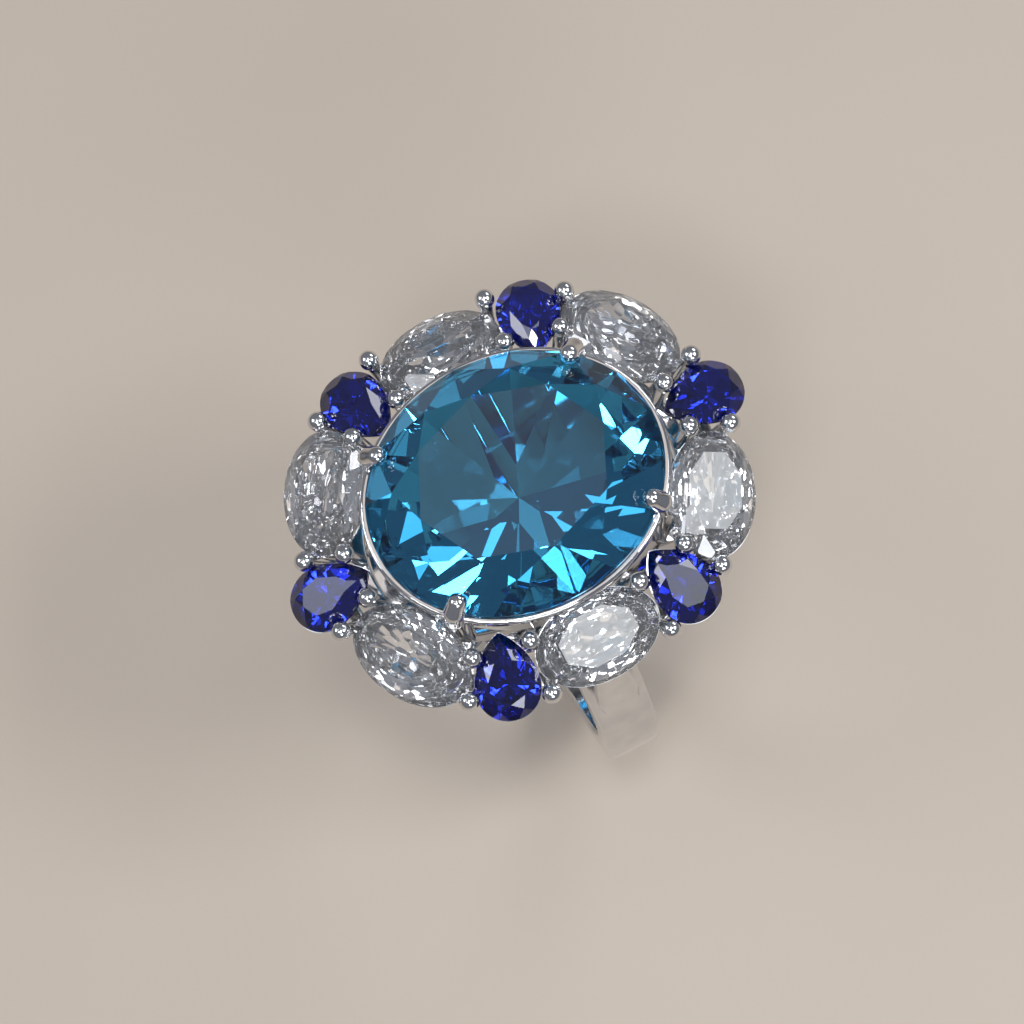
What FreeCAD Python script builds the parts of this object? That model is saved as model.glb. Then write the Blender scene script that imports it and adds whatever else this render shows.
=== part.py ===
"""Oval halo cocktail ring: band, open gallery, prong-set centre stone and a halo of pears and ovals.

Millimetres. The finger bore runs along Y, its axis through the origin; the centre stone is on top, at +Z.
Each sub-part is written to parts/NODE.step.
"""
import FreeCAD
import Part
import math
import os

V = FreeCAD.Vector

# Driving dimensions
bore_radius = 9.0           # finger hole 18 mm across
band_radius = 10.6          # outside of the band
band_width_top = 3.0        # where the band meets the gallery
band_width_bottom = 2.5     # at the back of the finger
band_end_x = 5.0            # the band stops here, each side of the centre stone's culet
band_outer_rounding = 0.38
band_inner_rounding = 0.15
gallery_inner_radius = 9.3  # the curved base rail clears the finger
gallery_radius = 10.15
centre_girdle_z = 14.6      # girdle plane of the centre stone
centre_half = (6.0, 7.0)    # 12 x 14 mm oval, long axis along the finger
halo_girdle_z = 12.6        # girdle centre of the halo stones
halo_slope = 12.0           # halo stones lean outward, degrees
oval_half = (3.0, 2.0)      # 6 x 4 mm ovals: half along the halo, half across it
pear_half = (1.5, 2.0)      # 3 x 4 mm pears: half width, half length
pear_sharpness = 0.6        # 0 is an oval, 1 a sharp teardrop
girdle_sides = 64
halo_line_half = (7.7, 9.0)  # the oval that the middles of the halo stones lie on

# Cuts: crown, pavilion and girdle heights, and the table as a share of the outline
pear_middle = 0.35          # the pear's facets meet this far towards its round end
centre_cut = {"crown": 1.75, "pavilion": 5.0, "girdle": 0.26, "table": 0.66}
oval_cut = {"crown": 0.62, "pavilion": 1.45, "girdle": 0.14, "table": 0.58}
pear_cut = {"crown": 0.52, "pavilion": 1.2, "girdle": 0.12, "table": 0.58, "centre_y": pear_middle}
cup_top_z = -0.12           # halo seats, below their stone's girdle
cup_depth = 1.75
cup_lip = 0.02              # how far a seat stands out past its stone
cup_wall = 0.30
cup_foot = 0.60             # size at the foot as a share of the outline

rail_bottom_z = 10.55       # halo rails
rail_top_z = 11.1
rail_width = 0.7
rail_rounding = 0.28        # as a share of the rail's smaller side
outer_rail_half = (8.3, 9.2)
inner_rail_half = (6.6, 7.9)
base_rail_outer = (6.3, 7.5)
base_rail_inner = (5.3, 6.5)
seat_rail_half, seat_rail_width = (5.95, 6.95), 0.66
seat_rail_z = (centre_girdle_z - 0.80, centre_girdle_z - 0.25)
basket_rail_half, basket_rail_width = (5.35, 6.25), 0.6
basket_rail_z = (11.6, 12.1)
strut_count = 12
strut_radius = 0.32
strut_sink = 0.3            # a strut's foot goes this far into the base rail before it is trimmed
shoulder_corners = [(6.9, 7.2), (9.55, 4.3), (9.15, 6.6), (8.85, 8.6), (8.72, rail_bottom_z),
                    (7.75, rail_bottom_z), (7.4, 9.0)]     # side outline (x, z)
shoulder_half_widths = (1.15, 0.62)                         # at the band, and under the halo rail
shoulder_chamfer = 0.2

# Plan positions of the halo, first quadrant: (x, y, outward direction in degrees)
end_pear = (0.0, 9.66, 90.0)
side_pear = (7.27, 4.49, 18.0)
side_oval = (4.35, 7.74, 62.0)
waist_oval = (7.65, 0.0, 0.0)

# Plan positions of the shared bead prongs, first quadrant
outer_beads = [(1.86, 10.07), (7.51, 6.48), (8.98, 3.05)]
inner_beads = [(1.17, 8.30), (5.91, 5.43), (6.50, 2.81)]
bead_radius = 0.47
bead_post_radius = 0.32
bead_lift = 0.56            # bead centre above the halo's girdle surface

# Centre claws, first quadrant: the line of each claw from the base rail to its tip, as (x, y, z, radius)
claw_path = [(3.88, 4.94, 8.90, 0.40), (3.93, 5.00, 13.00, 0.42), (4.20, 5.35, 14.25, 0.46),
             (4.14, 5.27, 15.00, 0.50), (3.88, 4.94, 15.42, 0.46)]

BIG = 60.0


# Small helpers

def save(shape, node):
    """Write one sub-part, after checking that it is a closed valid solid or group of solids."""
    solids = shape.Solids
    if not solids or not all(s.isValid() and s.Volume > 1e-3 for s in solids):
        raise RuntimeError("bad solid in " + node)
    group = solids[0] if len(solids) == 1 else Part.makeCompound(solids)
    group.exportStep("parts/" + node + ".step")
    print(node, len(solids), round(sum(s.Volume for s in solids), 3))


def ellipse_prism(half, z_low, z_high):
    """Solid elliptic cylinder with semi-axes half = (x, y)."""
    major, minor = max(half), min(half)
    edge = Part.Ellipse(V(0, 0, z_low), major, minor).toShape()
    face = Part.Face(Part.Wire(edge))
    if half[1] > half[0]:
        face.rotate(V(0, 0, z_low), V(0, 0, 1), 90)
    return face.extrude(V(0, 0, z_high - z_low))


def oval_rail(half, width, z_low, z_high):
    """Flat oval ring whose centre line has semi-axes half."""
    grow = width / 2
    outside = ellipse_prism((half[0] + grow, half[1] + grow), z_low, z_high)
    inside = ellipse_prism((half[0] - grow, half[1] - grow), z_low - 1, z_high + 1)
    rail = outside.cut(inside)
    rims = [e for e in rail.Edges if abs(e.BoundBox.ZLength) < 1e-6]
    return rail.makeFillet(min(width, z_high - z_low) * rail_rounding, rims)


def bore_cylinder(radius, half_length):
    """Cylinder along Y, centred on the origin."""
    return Part.makeCylinder(radius, 2 * half_length, V(0, -half_length, 0), V(0, 1, 0))


def rod(start, end, r_start, r_end=None):
    """Round rod between two points, straight or tapered, with flat ends."""
    start, end = V(*start), V(*end)
    length = (end - start).Length
    if r_end is None or abs(r_start - r_end) < 1e-9:
        return Part.makeCylinder(r_start, length, start, end - start)
    return Part.makeCone(r_start, r_end, length, start, end - start)


def above(z):
    """Everything above a level plane."""
    return Part.makeBox(BIG, BIG, BIG, V(-BIG / 2, -BIG / 2, z))


def on_ellipse(half, x, y):
    """The point of an ellipse in the plan direction of (x, y)."""
    scale = 1 / math.hypot(x / half[0], y / half[1])
    return x * scale, y * scale


def placed(shape, spot, z, slope):
    """A copy of a shape made in its own frame (X along the halo, Y outward), put at a halo spot."""
    x, y, outward = spot
    copy = shape.copy()
    copy.rotate(V(0, 0, 0), V(1, 0, 0), -slope)
    copy.rotate(V(0, 0, 0), V(0, 0, 1), outward - 90)
    copy.translate(V(x, y, z))
    return copy


def mirrored_spots(spot):
    """The spot and its mirror images in the two vertical planes, without repeats, anticlockwise."""
    x, y, outward = spot
    found = {}
    for sx in (1, -1):
        for sy in (1, -1):
            turn = math.degrees(math.atan2(sy * math.sin(math.radians(outward)),
                                           sx * math.cos(math.radians(outward))))
            found[(round(sx * x, 6), round(sy * y, 6))] = turn
    spots = [(px, py, turn) for (px, py), turn in found.items()]
    return sorted(spots, key=lambda s: math.atan2(s[1], s[0]) % (2 * math.pi))


# Cut stones

def oval_outline(half):
    """Plan outline as a function of t in turns."""
    def at(t):
        a = 2 * math.pi * t
        return half[0] * math.cos(a), half[1] * math.sin(a)
    return at


def pear_outline(half):
    """Teardrop with its point at -Y and its round end at +Y, as a function of t in turns from the point."""
    def width(a):
        return math.sin(a) * math.sin(a / 2) ** pear_sharpness

    widest = width(math.acos(-pear_sharpness / (2 + pear_sharpness)))

    def at(t):
        a = 2 * math.pi * t
        return half[0] * math.copysign(width(a if a < math.pi else 2 * math.pi - a), math.sin(a)) / widest, \
            -half[1] * math.cos(a)
    return at


def outline_point(outline, centre_y, t, scale, z):
    """A point of the outline drawn in towards the stone's middle."""
    x, y = outline(t)
    return V(x * scale, centre_y + (y - centre_y) * scale, z)


def outline_wire(outline, centre_y, scale, z):
    points = [outline_point(outline, centre_y, i / girdle_sides, scale, z) for i in range(girdle_sides)]
    return Part.makePolygon(points + points[:1])


def half_space_beyond(a, b, c, inside):
    """A big box on the far side of the plane through three points, away from the inside point."""
    normal = (b - a).cross(c - a)
    normal.normalize()
    if (inside - a).dot(normal) > 0:
        normal = -normal
    box = Part.makeBox(BIG, BIG, BIG, V(-BIG / 2, -BIG / 2, 0))
    box.Placement = FreeCAD.Placement(a, FreeCAD.Rotation(V(0, 0, 1), normal))
    return box


def brilliant(outline, crown, pavilion, girdle, table=0.62, star=0.80, lower=0.22, centre_y=0.0, mains=8):
    """A brilliant-cut stone with its girdle at z = 0: mains, star and girdle facets, above and below."""
    half = girdle / 2
    top, bottom = half + crown, -half - pavilion
    turn = math.cos(math.pi / mains)
    star_z = half + crown * (1 - star * turn) / (1 - table)
    lower_z = -half - pavilion * (1 - lower * turn)
    blank_z = bottom - 0.5
    stone = Part.Face(outline_wire(outline, centre_y, 1.0, blank_z)).extrude(V(0, 0, top - blank_z))
    inside = V(0, centre_y, 0)
    culet = V(0, centre_y, bottom)

    def point(k, scale, z):
        return outline_point(outline, centre_y, (k % mains) / mains, scale, z)

    cutters = []
    for k in range(mains):
        mid, last = k + 0.5, k - 0.5
        corner, next_corner = point(k, table, top), point(k + 1, table, top)
        kite, last_kite = point(mid, star, star_z), point(last, star, star_z)
        low, last_low = point(mid, lower, lower_z), point(last, lower, lower_z)
        planes = [(corner, last_kite, kite), (corner, next_corner, kite), (culet, last_low, low)]
        for end in (k, k + 1):
            planes.append((kite, point(end, 1, half), point(mid, 1, half)))
            planes.append((low, point(end, 1, -half), point(mid, 1, -half)))
        cutters += [half_space_beyond(*plane, inside) for plane in planes]
    for cutter in cutters:
        stone = stone.cut(cutter)
    return stone


def collet(outline, reach, stone, centre_y=0.0):
    """The thin tapered cup, open above and below, that a halo stone of half width reach sits in."""
    wall = cup_wall / reach
    top = 1 + cup_lip / reach
    over = 0.1

    def loft(sections):
        wires = [outline_wire(outline, centre_y, share, z) for share, z in sections]
        return Part.makeLoft(wires, True, True)

    outside = loft([(top, cup_top_z), (cup_foot, -cup_depth)])
    inside = loft([(top - wall + 0.02, cup_top_z + over), (cup_foot - wall, -cup_depth - over)])
    return outside.cut(inside).cut(stone)


# Metal parts

def make_band():
    """The shank: a flat polished band that narrows towards the back, cut where the gallery starts."""
    ring = bore_cylinder(band_radius, 4).cut(bore_cylinder(bore_radius, 5))
    top, low = band_width_top / 2, band_width_bottom / 2
    side = Part.makePolygon([V(-BIG, -low, -band_radius - 1), V(-BIG, low, -band_radius - 1),
                             V(-BIG, top, band_radius + 1), V(-BIG, -top, band_radius + 1),
                             V(-BIG, -low, -band_radius - 1)])
    ring = ring.common(Part.Face(side).extrude(V(2 * BIG, 0, 0)))
    for radius, rounding in ((band_radius, band_outer_rounding), (bore_radius, band_inner_rounding)):
        rims = [e for e in ring.Edges if abs(e.BoundBox.XLength - 2 * radius) < 0.05
                and e.BoundBox.ZLength > 2 * radius - 0.5]
        ring = ring.makeFillet(rounding, rims)
    return ring.cut(Part.makeBox(2 * band_end_x, 10, BIG, V(-band_end_x, -5, 0)))


def make_base_rails(band):
    """The oval rail that lies along the finger under the head, in two halves, one each side of the band."""
    outline = ellipse_prism(base_rail_outer, 0, 20).cut(ellipse_prism(base_rail_inner, -1, 21))
    shell = bore_cylinder(gallery_radius, 12).cut(bore_cylinder(gallery_inner_radius, 13))
    rail = outline.common(shell).cut(band)
    halves = []
    for side in (1, -1):
        keep = Part.makeBox(BIG, BIG, BIG, V(-BIG / 2, 0 if side > 0 else -BIG, -BIG / 2))
        halves.append(max(rail.common(keep).Solids, key=lambda s: s.Volume))
    return halves


def make_shoulder(side):
    """A tapered brace from the band up to the outer halo rail, on one side of the finger."""
    profile = Part.makePolygon([V(side * x, -5, z) for x, z in shoulder_corners + shoulder_corners[:1]])
    brace = Part.Face(profile).extrude(V(0, 10, 0))
    low_z, high_z = shoulder_corners[1][1], rail_bottom_z
    low, high = shoulder_half_widths
    front = Part.makePolygon([V(-BIG / 2, y, z) for y, z in
                              ((-low, low_z), (low, low_z), (high, high_z), (-high, high_z), (-low, low_z))])
    brace = brace.common(Part.Face(front).extrude(V(BIG, 0, 0)))
    outer_x = shoulder_corners[4][0] - 0.1
    crest = [e for e in brace.Edges
             if min(v.X * side for v in e.Vertexes) > outer_x and e.BoundBox.ZLength > 1]
    return brace.makeChamfer(shoulder_chamfer, crest).cut(bore_cylinder(band_radius, 6))


def make_claw(sx, sy, stone, neighbours):
    """One centre prong: a post from the base rail that bulges round the girdle and bends over the crown."""
    joints = [(V(sx * x, sy * y, z), r) for x, y, z, r in claw_path]
    pieces = []
    for (start, r_start), (end, r_end) in zip(joints, joints[1:]):
        pieces.append(rod(tuple(start), tuple(end), r_start, r_end))
        pieces.append(Part.makeSphere(r_end, end))
    claw = pieces[0].fuse(pieces[1:])
    claw = claw.cut(bore_cylinder(gallery_radius, 12))
    for other in [stone] + neighbours:
        claw = claw.cut(other)
    return max(claw.Solids, key=lambda s: s.Volume)


def make_bead_prong(x, y, rail_half, neighbours):
    """One shared halo prong: a post from the rail with a round bead that holds the stones on each side."""
    fx, fy = on_ellipse(rail_half, x, y)
    outward = math.hypot(x, y) - math.hypot(*on_ellipse(halo_line_half, x, y))
    z = halo_girdle_z + bead_lift - outward * math.tan(math.radians(halo_slope))
    head = V(x, y, z)
    foot = V(fx, fy, rail_top_z)
    below = foot - (head - foot) * 0.3
    post = rod(tuple(below), tuple(head), bead_post_radius).common(above(rail_top_z))
    prong = post.fuse(Part.makeSphere(bead_radius, head))
    for other in neighbours:
        if other.BoundBox.intersect(prong.BoundBox):
            prong = prong.cut(other)
    return max(prong.Solids, key=lambda s: s.Volume)


def make_strut(angle, obstacles):
    """A gallery strut from the base rail out to the outer halo rail."""
    c, s = math.cos(math.radians(angle)), math.sin(math.radians(angle))
    mid = [(a + b) / 2 for a, b in zip(base_rail_outer, base_rail_inner)]
    bx, by = mid[0] * c, mid[1] * s
    foot = (bx, by, math.sqrt(gallery_radius ** 2 - bx ** 2) - strut_sink)
    head = (outer_rail_half[0] * c, outer_rail_half[1] * s, rail_bottom_z + 0.2)
    strut = rod(foot, head, strut_radius)
    for other in obstacles:
        strut = strut.cut(other)
    return max(strut.Solids, key=lambda s: s.Volume)


def main():
    os.makedirs("parts", exist_ok=True)

    centre = brilliant(oval_outline(centre_half), **centre_cut)
    centre.translate(V(0, 0, centre_girdle_z))
    oval = brilliant(oval_outline(oval_half), **oval_cut)
    pear = brilliant(pear_outline(pear_half), **pear_cut)
    oval_cup = collet(oval_outline(oval_half), min(oval_half), oval)
    pear_cup = collet(pear_outline(pear_half), min(pear_half), pear, pear_middle)

    pear_spots = sorted(mirrored_spots(end_pear) + mirrored_spots(side_pear),
                        key=lambda s: math.atan2(s[1], s[0]) % (2 * math.pi))
    oval_spots = sorted(mirrored_spots(waist_oval) + mirrored_spots(side_oval),
                        key=lambda s: math.atan2(s[1], s[0]) % (2 * math.pi))
    seat_space = above(rail_top_z)
    pears = [placed(pear, s, halo_girdle_z, halo_slope) for s in pear_spots]
    ovals = [placed(oval, s, halo_girdle_z, halo_slope) for s in oval_spots]
    pear_cups = [placed(pear_cup, s, halo_girdle_z, halo_slope).common(seat_space) for s in pear_spots]
    oval_cups = [placed(oval_cup, s, halo_girdle_z, halo_slope).common(seat_space) for s in oval_spots]
    cups = pear_cups + oval_cups
    for i, cup in enumerate(cups):
        for other in pears + ovals + cups[:i]:
            if other.BoundBox.intersect(cup.BoundBox):
                cup = cup.cut(other)
        cups[i] = max(cup.Solids, key=lambda s: s.Volume)
    halo = pears + ovals + cups

    band = make_band()
    base_rails = make_base_rails(band)
    outer_rail = oval_rail(outer_rail_half, rail_width, rail_bottom_z, rail_top_z)
    inner_rail = oval_rail(inner_rail_half, rail_width, rail_bottom_z, rail_top_z)
    quadrants = ((1, 1), (-1, 1), (-1, -1), (1, -1))
    claws = [make_claw(sx, sy, centre, halo + [inner_rail]) for sx, sy in quadrants]
    seat_rail = oval_rail(seat_rail_half, seat_rail_width, *seat_rail_z).cut(centre)
    basket_rail = oval_rail(basket_rail_half, basket_rail_width, *basket_rail_z)
    for claw in claws:
        seat_rail = seat_rail.cut(claw)
        basket_rail = basket_rail.cut(claw)
    shoulders = [make_shoulder(side).cut(outer_rail) for side in (1, -1)]
    obstacles = base_rails + [outer_rail, inner_rail, band] + shoulders
    step = 360 / strut_count
    struts = [make_strut(step * (k + 0.5), obstacles + claws) for k in range(strut_count)]

    bead_spots = [(sx * x, sy * y, outer_rail_half) for sx, sy in quadrants for x, y in outer_beads]
    bead_spots += [(sx * x, sy * y, inner_rail_half) for sx, sy in quadrants for x, y in inner_beads]
    groups = [[] for _ in pear_spots]
    for x, y, rail in bead_spots:
        nearest = min(range(len(pear_spots)), key=lambda i: math.dist(pear_spots[i][:2], (x, y)))
        groups[nearest].append(make_bead_prong(x, y, rail, halo))

    save(band, "shank")
    save(base_rails[0], "base_rail_front")
    save(base_rails[1], "base_rail_back")
    save(outer_rail, "halo_rail_outer")
    save(inner_rail, "halo_rail_inner")
    save(seat_rail, "centre_seat_rail")
    save(basket_rail, "centre_basket_rail")
    save(Part.makeCompound(struts), "gallery_struts")
    save(centre, "centre_stone")
    for i, shoulder in enumerate(shoulders, 1):
        save(shoulder, "shoulder_%d" % i)
    for i, claw in enumerate(claws, 1):
        save(claw, "centre_prong_%d" % i)
    for i in range(6):
        save(pears[i], "pear_stone_%d" % (i + 1))
        save(ovals[i], "oval_stone_%d" % (i + 1))
        save(cups[i], "pear_seat_%d" % (i + 1))
        save(cups[6 + i], "oval_seat_%d" % (i + 1))
        save(Part.makeCompound(groups[i]), "halo_prongs_%d" % (i + 1))


main()
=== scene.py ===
"""Looks for the oval halo cocktail ring: cut stones, polished metal, studio light and camera.

Metres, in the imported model's own frame: the finger hole runs along Y through the origin; the centre stone
is at +Z.
"""

import bmesh
import bpy
import math
import numpy as np
from mathutils import Matrix, Vector


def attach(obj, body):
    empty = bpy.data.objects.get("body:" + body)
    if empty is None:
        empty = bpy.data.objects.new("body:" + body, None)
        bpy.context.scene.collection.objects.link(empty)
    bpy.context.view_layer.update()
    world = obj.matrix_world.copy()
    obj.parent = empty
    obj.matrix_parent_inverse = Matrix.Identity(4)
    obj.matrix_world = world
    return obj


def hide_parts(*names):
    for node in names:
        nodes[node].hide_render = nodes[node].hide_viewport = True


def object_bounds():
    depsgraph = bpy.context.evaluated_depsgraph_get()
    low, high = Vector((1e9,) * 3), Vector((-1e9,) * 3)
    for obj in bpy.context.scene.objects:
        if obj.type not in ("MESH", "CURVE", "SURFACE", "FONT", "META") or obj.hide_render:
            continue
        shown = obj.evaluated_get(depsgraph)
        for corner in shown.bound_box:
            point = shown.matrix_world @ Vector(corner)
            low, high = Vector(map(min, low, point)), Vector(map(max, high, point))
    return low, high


MM = 0.001

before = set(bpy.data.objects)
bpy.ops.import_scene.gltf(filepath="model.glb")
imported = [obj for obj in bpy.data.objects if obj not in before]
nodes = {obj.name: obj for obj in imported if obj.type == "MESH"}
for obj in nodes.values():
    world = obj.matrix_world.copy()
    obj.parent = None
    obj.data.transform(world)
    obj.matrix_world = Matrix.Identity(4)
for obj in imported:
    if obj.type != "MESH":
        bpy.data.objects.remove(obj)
cad_low, cad_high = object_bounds()

# Camera
camera_spot = Vector((35.72, -9.43, 142.84)) * MM
camera_aim = Vector((1.17, -0.78, 14.6)) * MM
camera_up = Vector((-0.8435, 0.4705, 0.259))
camera_lens = 104.1         # mm
camera_sensor = 36.0        # mm
camera_clip = (0.005, 10.0)

# Lamps: name, azimuth from +X towards +Y and elevation (degrees), distance from the head and size (mm),
# watts, colour
daylight, skylight, warm = (1.0, 0.99, 0.97), (0.93, 0.95, 1.0), (1.0, 0.97, 0.94)
head = Vector((0, 0, 14))   # mm, what the lamps are aimed at
softboxes = [
    ("wedge", 60, 48, 260, (96, 70), 0.30, daylight),
    ("right", 350, 36, 260, (110, 70), 0.15, (0.93, 0.96, 1.0)),
    ("left", 240, 38, 260, (110, 60), 0.12, skylight),
    ("far", 120, 30, 260, (110, 60), 0.11, skylight),
    ("key", 346, 85, 300, (56, 56), 0.28, (1.0, 0.98, 0.95)),
    ("veil", 166, 75, 260, (90, 60), 0.012, (1.0, 0.88, 0.78)),
    ("sheen_left", 238, 60, 263, (44, 44), 0.0134, (0.90, 0.95, 1.0)),
    ("sheen_right", 50, 71.4, 261, (40, 40), 0.011, (0.90, 0.95, 1.0)),
    ("sheen_far", 92, 61, 262, (30, 26), 0.006, (0.92, 0.97, 1.0)),
    ("sheen_near", 19, 77, 260, (18, 20), 0.003, (0.95, 0.98, 1.0)),
    ("upper", 285, 58, 260, (60, 60), 0.025, (0.95, 0.97, 1.0)),
    ("front", 322, 64, 260, (44, 44), 0.16, warm),
]
world_colour = (0.20, 0.21, 0.235)

# Floor
floor_half_size = 2.0       # metres
floor_dark, floor_light = (0.41, 0.355, 0.30), (0.44, 0.385, 0.33)
floor_cloud_scale = 40.0
floor_roughness = 0.7

# Metal
metal_dark, metal_light = (0.56, 0.57, 0.60), (0.80, 0.80, 0.80)
metal_cloud_scale, metal_hairline_scale = 900.0, 9000.0
metal_roughness = (0.04, 0.12)
metal_hairline_strength, metal_hairline_depth = 0.03, 0.00002
metal_sharp_edge = 30       # degrees

# Gems
zone_ramp = (0.35, 0.65)    # where the growth zones' colour changes
polish_scale = 60           # polish marks are this much finer than the growth zones
polish_strength, polish_depth = 0.01, 0.000002

# Cut of the clear ovals, as shares of the stone's own size
oval_sides = 96
oval_crown_share = 0.29
oval_girdle_share = 0.05
oval_table = 0.52
crown_power = 1.5
pavilion_power = 1.45
slope_step = 0.01
crown_rings = ((0.95, 16, 0.5), (0.76, 8, 0.0))
pavilion_rings = ((0.94, 32, 0.5), (0.80, 26, 0.0), (0.62, 20, 0.5), (0.42, 14, 0.0), (0.20, 8, 0.5))
cut_tolerance = 1e-5

# Light paths
bounces, glossy_bounces = 24, 12


# Materials

def new_material(name):
    material = bpy.data.materials.new(name)
    material.use_nodes = True
    tree = material.node_tree
    return material, tree, tree.nodes["Principled BSDF"]


def add_node(tree, kind, **values):
    node = tree.nodes.new(kind)
    for key, value in values.items():
        if key in node.inputs:
            node.inputs[key].default_value = value
        else:
            setattr(node, key, value)
    return node


def ramp(tree, source, dark, light, positions=(0.0, 1.0)):
    """Colours between dark and light, driven by a texture's factor."""
    node = tree.nodes.new("ShaderNodeValToRGB")
    for element, colour, position in zip(node.color_ramp.elements, (dark, light), positions):
        element.color = (*colour, 1)
        element.position = position
    tree.links.new(source.outputs["Fac"], node.inputs["Fac"])
    return node


def noise(tree, place, scale, detail):
    node = add_node(tree, "ShaderNodeTexNoise", Scale=scale, Detail=detail)
    tree.links.new(place.outputs["Object"], node.inputs["Vector"])
    return node


def bumped(tree, shader, height, strength, depth):
    bump = add_node(tree, "ShaderNodeBump", Strength=strength, Distance=depth)
    tree.links.new(height.outputs["Fac"], bump.inputs["Height"])
    tree.links.new(bump.outputs["Normal"], shader.inputs["Normal"])


def polished_metal(name):
    """Rhodium-bright silver: a mirror polish with fine hairlines and a slightly uneven tone."""
    material, tree, shader = new_material(name)
    place = add_node(tree, "ShaderNodeTexCoord")
    cloud = noise(tree, place, metal_cloud_scale, 4.0)
    fine = noise(tree, place, metal_hairline_scale, 3.0)
    tint = ramp(tree, cloud, metal_dark, metal_light)
    tree.links.new(tint.outputs["Color"], shader.inputs["Base Color"])
    rough = add_node(tree, "ShaderNodeMapRange")
    rough.inputs["To Min"].default_value, rough.inputs["To Max"].default_value = metal_roughness
    tree.links.new(fine.outputs["Fac"], rough.inputs["Value"])
    tree.links.new(rough.outputs["Result"], shader.inputs["Roughness"])
    bumped(tree, shader, fine, metal_hairline_strength, metal_hairline_depth)
    shader.inputs["Metallic"].default_value = 1.0
    return material


def gem(name, light, dark, ior, scale, haze=0.0):
    """Cut stone: clear coloured glass with faint growth zoning, a share of haze, and traces of polish."""
    material, tree, shader = new_material(name)
    place = add_node(tree, "ShaderNodeTexCoord")
    tint = ramp(tree, noise(tree, place, scale, 2.0), dark, light, zone_ramp)
    tree.links.new(tint.outputs["Color"], shader.inputs["Base Color"])
    bumped(tree, shader, noise(tree, place, scale * polish_scale, 2.0), polish_strength, polish_depth)
    shader.inputs["Roughness"].default_value = 0.0
    shader.inputs["IOR"].default_value = ior
    shader.inputs["Transmission Weight"].default_value = 1.0 - haze
    return material


def dress(piece, material, smooth_degrees=None):
    piece.data.materials.clear()
    piece.data.materials.append(material)
    mesh = piece.data
    smooth = smooth_degrees is not None
    mesh.polygons.foreach_set("use_smooth", [smooth] * len(mesh.polygons))
    if smooth:
        mesh.set_sharp_from_angle(angle=math.radians(smooth_degrees))
    mesh.update()


# Clear ovals, cut again with the many small facets of a crushed-ice cut

def stone_frame(node):
    """A cut stone's own axes (long, across, up) about its table's middle; its half sizes, height in mm."""
    points = np.array([v.co for v in node.data.vertices], float)
    spread = np.linalg.eigh(np.cov((points - points.mean(0)).T))[1]
    up, along = spread[:, 0], spread[:, 2]
    up = up if up[2] > 0 else -up
    across = np.cross(up, along)
    low, high = (np.array([f(points @ axis) for axis in (along, across, up)]) for f in (np.min, np.max))
    middle, half = (low + high) / 2, (high - low) / 2
    spot = along * middle[0] + across * middle[1] + up * high[2]
    turn = Matrix([[*row] for row in np.stack([along, across, up], axis=1)]).to_4x4()
    return Matrix.Translation(Vector(spot)) @ turn, half[:2] / MM, 2 * half[2] / MM


def facet_planes(half, rings, height_at, facing):
    """Facet planes that touch a domed oval: each ring is (size, count, phase); facing is 1 up, -1 down."""
    for share, count, phase in rings:
        slope = (height_at(share + slope_step) - height_at(share - slope_step)) / (2 * slope_step)
        for k in range(count):
            angle = 2 * math.pi * (k + phase) / count
            x, y = half[0] * math.cos(angle), half[1] * math.sin(angle)
            tangent = Vector((-half[0] * math.sin(angle), half[1] * math.cos(angle), 0))
            normal = tangent.cross(Vector((x, y, slope))).normalized()
            if normal.z * facing < 0:
                normal.negate()
            yield Vector((x * share, y * share, height_at(share))), normal


def cut_convex(bm, spot, normal):
    everything = bm.verts[:] + bm.edges[:] + bm.faces[:]
    bmesh.ops.bisect_plane(bm, geom=everything, dist=cut_tolerance, plane_co=spot, plane_no=normal,
                           clear_outer=True)
    rim = [e for e in bm.edges if e.is_boundary]
    if rim:
        bmesh.ops.edgeloop_fill(bm, edges=rim)


def crushed_oval(half, height):
    """An oval stone with its table at z = 0, in mm."""
    crown, girdle = height * oval_crown_share, height * oval_girdle_share
    pavilion = height - crown - girdle

    def crown_height(share):
        return -crown * (max(share - oval_table, 0) / (1 - oval_table)) ** crown_power

    def pavilion_height(share):
        return -height + pavilion * share ** pavilion_power

    bm = bmesh.new()
    bmesh.ops.create_cone(bm, cap_ends=True, segments=oval_sides, radius1=1, radius2=1, depth=height)
    for v in bm.verts:
        v.co = Vector((v.co.x * half[0], v.co.y * half[1], v.co.z - height / 2))
    for spot, normal in facet_planes(half, crown_rings, crown_height, 1):
        cut_convex(bm, spot, normal)
    for spot, normal in facet_planes(half, pavilion_rings, pavilion_height, -1):
        cut_convex(bm, spot, normal)
    bmesh.ops.recalc_face_normals(bm, faces=bm.faces)
    mesh = bpy.data.meshes.new("crushed_oval")
    bm.to_mesh(mesh)
    bm.free()
    return mesh


metal = polished_metal("polished_silver")
aqua = gem("aqua_stone", (0.045, 0.32, 0.58), (0.025, 0.25, 0.50), 1.5, 120)
royal = gem("royal_blue_stone", (0.008, 0.018, 0.36), (0.003, 0.008, 0.20), 1.76, 300, haze=0.03)
clear = gem("clear_stone", (1.0, 1.0, 1.0), (0.95, 0.97, 1.0), 2.15, 300, haze=0.03)

for name, node in sorted(nodes.items()):
    if name == "centre_stone":
        dress(node, aqua)
    elif name.startswith("pear_stone"):
        dress(node, royal)
    elif name.startswith("oval_stone"):
        place, half, height = stone_frame(node)
        mesh = crushed_oval(half, height)
        mesh.transform(place @ Matrix.Scale(MM, 4))
        stone = bpy.data.objects.new(name + "_cut", mesh)
        bpy.context.scene.collection.objects.link(stone)
        dress(stone, clear)
        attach(stone, "root")
        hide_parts(name)
    else:
        dress(node, metal, metal_sharp_edge)


# Floor

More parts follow.
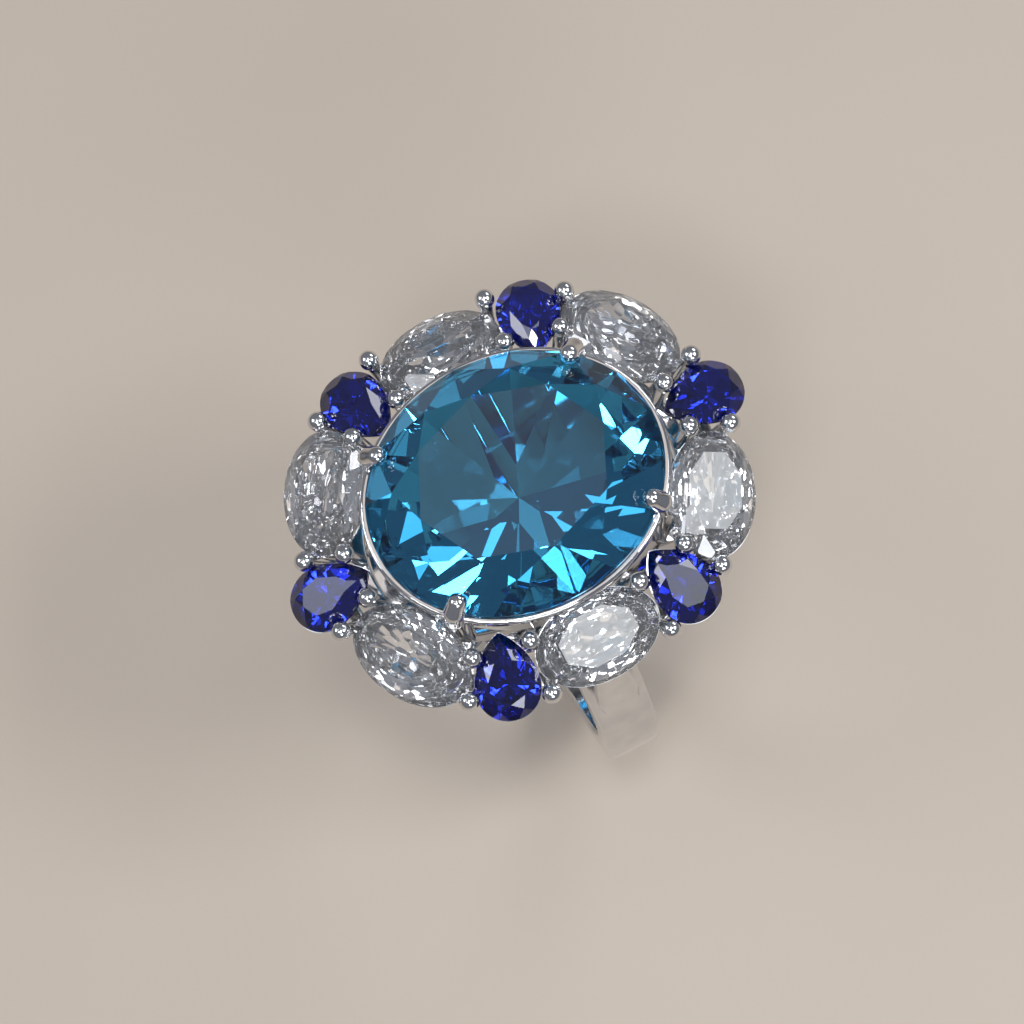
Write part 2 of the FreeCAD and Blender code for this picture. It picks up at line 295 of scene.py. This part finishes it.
def make_floor(z):
    mesh = bpy.data.meshes.new("floor")
    bm = bmesh.new()
    bmesh.ops.create_grid(bm, x_segments=8, y_segments=8, size=floor_half_size)
    bm.to_mesh(mesh)
    bm.free()
    floor = bpy.data.objects.new("floor", mesh)
    floor.location = (0, 0, z)
    bpy.context.scene.collection.objects.link(floor)
    material, tree, shader = new_material("pale_floor")
    place = add_node(tree, "ShaderNodeTexCoord")
    tint = ramp(tree, noise(tree, place, floor_cloud_scale, 3.0), floor_dark, floor_light)
    tree.links.new(tint.outputs["Color"], shader.inputs["Base Color"])
    shader.inputs["Roughness"].default_value = floor_roughness
    mesh.materials.append(material)


make_floor(cad_low.z)


# Lights

def softbox(name, azimuth, elevation, distance, size, power, colour):
    """An area light aimed at the head from an azimuth and an elevation."""
    a, e = math.radians(azimuth), math.radians(elevation)
    spot = head + Vector((math.cos(a) * math.cos(e), math.sin(a) * math.cos(e), math.sin(e))) * distance
    data = bpy.data.lights.new(name, "AREA")
    data.shape = "RECTANGLE"
    data.size, data.size_y = size[0] * MM, size[1] * MM
    data.energy = power
    data.color = colour
    lamp = bpy.data.objects.new(name, data)
    lamp.location = spot * MM
    lamp.rotation_euler = (head * MM - lamp.location).to_track_quat("-Z", "Y").to_euler()
    bpy.context.scene.collection.objects.link(lamp)


for values in softboxes:
    softbox(*values)

world = bpy.data.worlds.new("studio")
world.use_nodes = True
world.node_tree.nodes["Background"].inputs["Color"].default_value = (*world_colour, 1)
world.node_tree.nodes["Background"].inputs["Strength"].default_value = 1.0
bpy.context.scene.world = world

# Camera
lens = bpy.data.cameras.new("camera")
lens.lens = camera_lens
lens.sensor_width = camera_sensor
lens.clip_start, lens.clip_end = camera_clip
camera = bpy.data.objects.new("camera", lens)
back = (camera_spot - camera_aim).normalized()
side = camera_up.cross(back).normalized()
up = back.cross(side)
camera.matrix_world = Matrix.Translation(camera_spot) @ Matrix((side, up, back)).transposed().to_4x4()
bpy.context.scene.collection.objects.link(camera)
bpy.context.scene.camera = camera

cycles = bpy.context.scene.cycles
cycles.max_bounces = bounces
cycles.transmission_bounces = bounces
cycles.glossy_bounces = glossy_bounces
bpy.context.scene.view_settings.view_transform = "Standard"
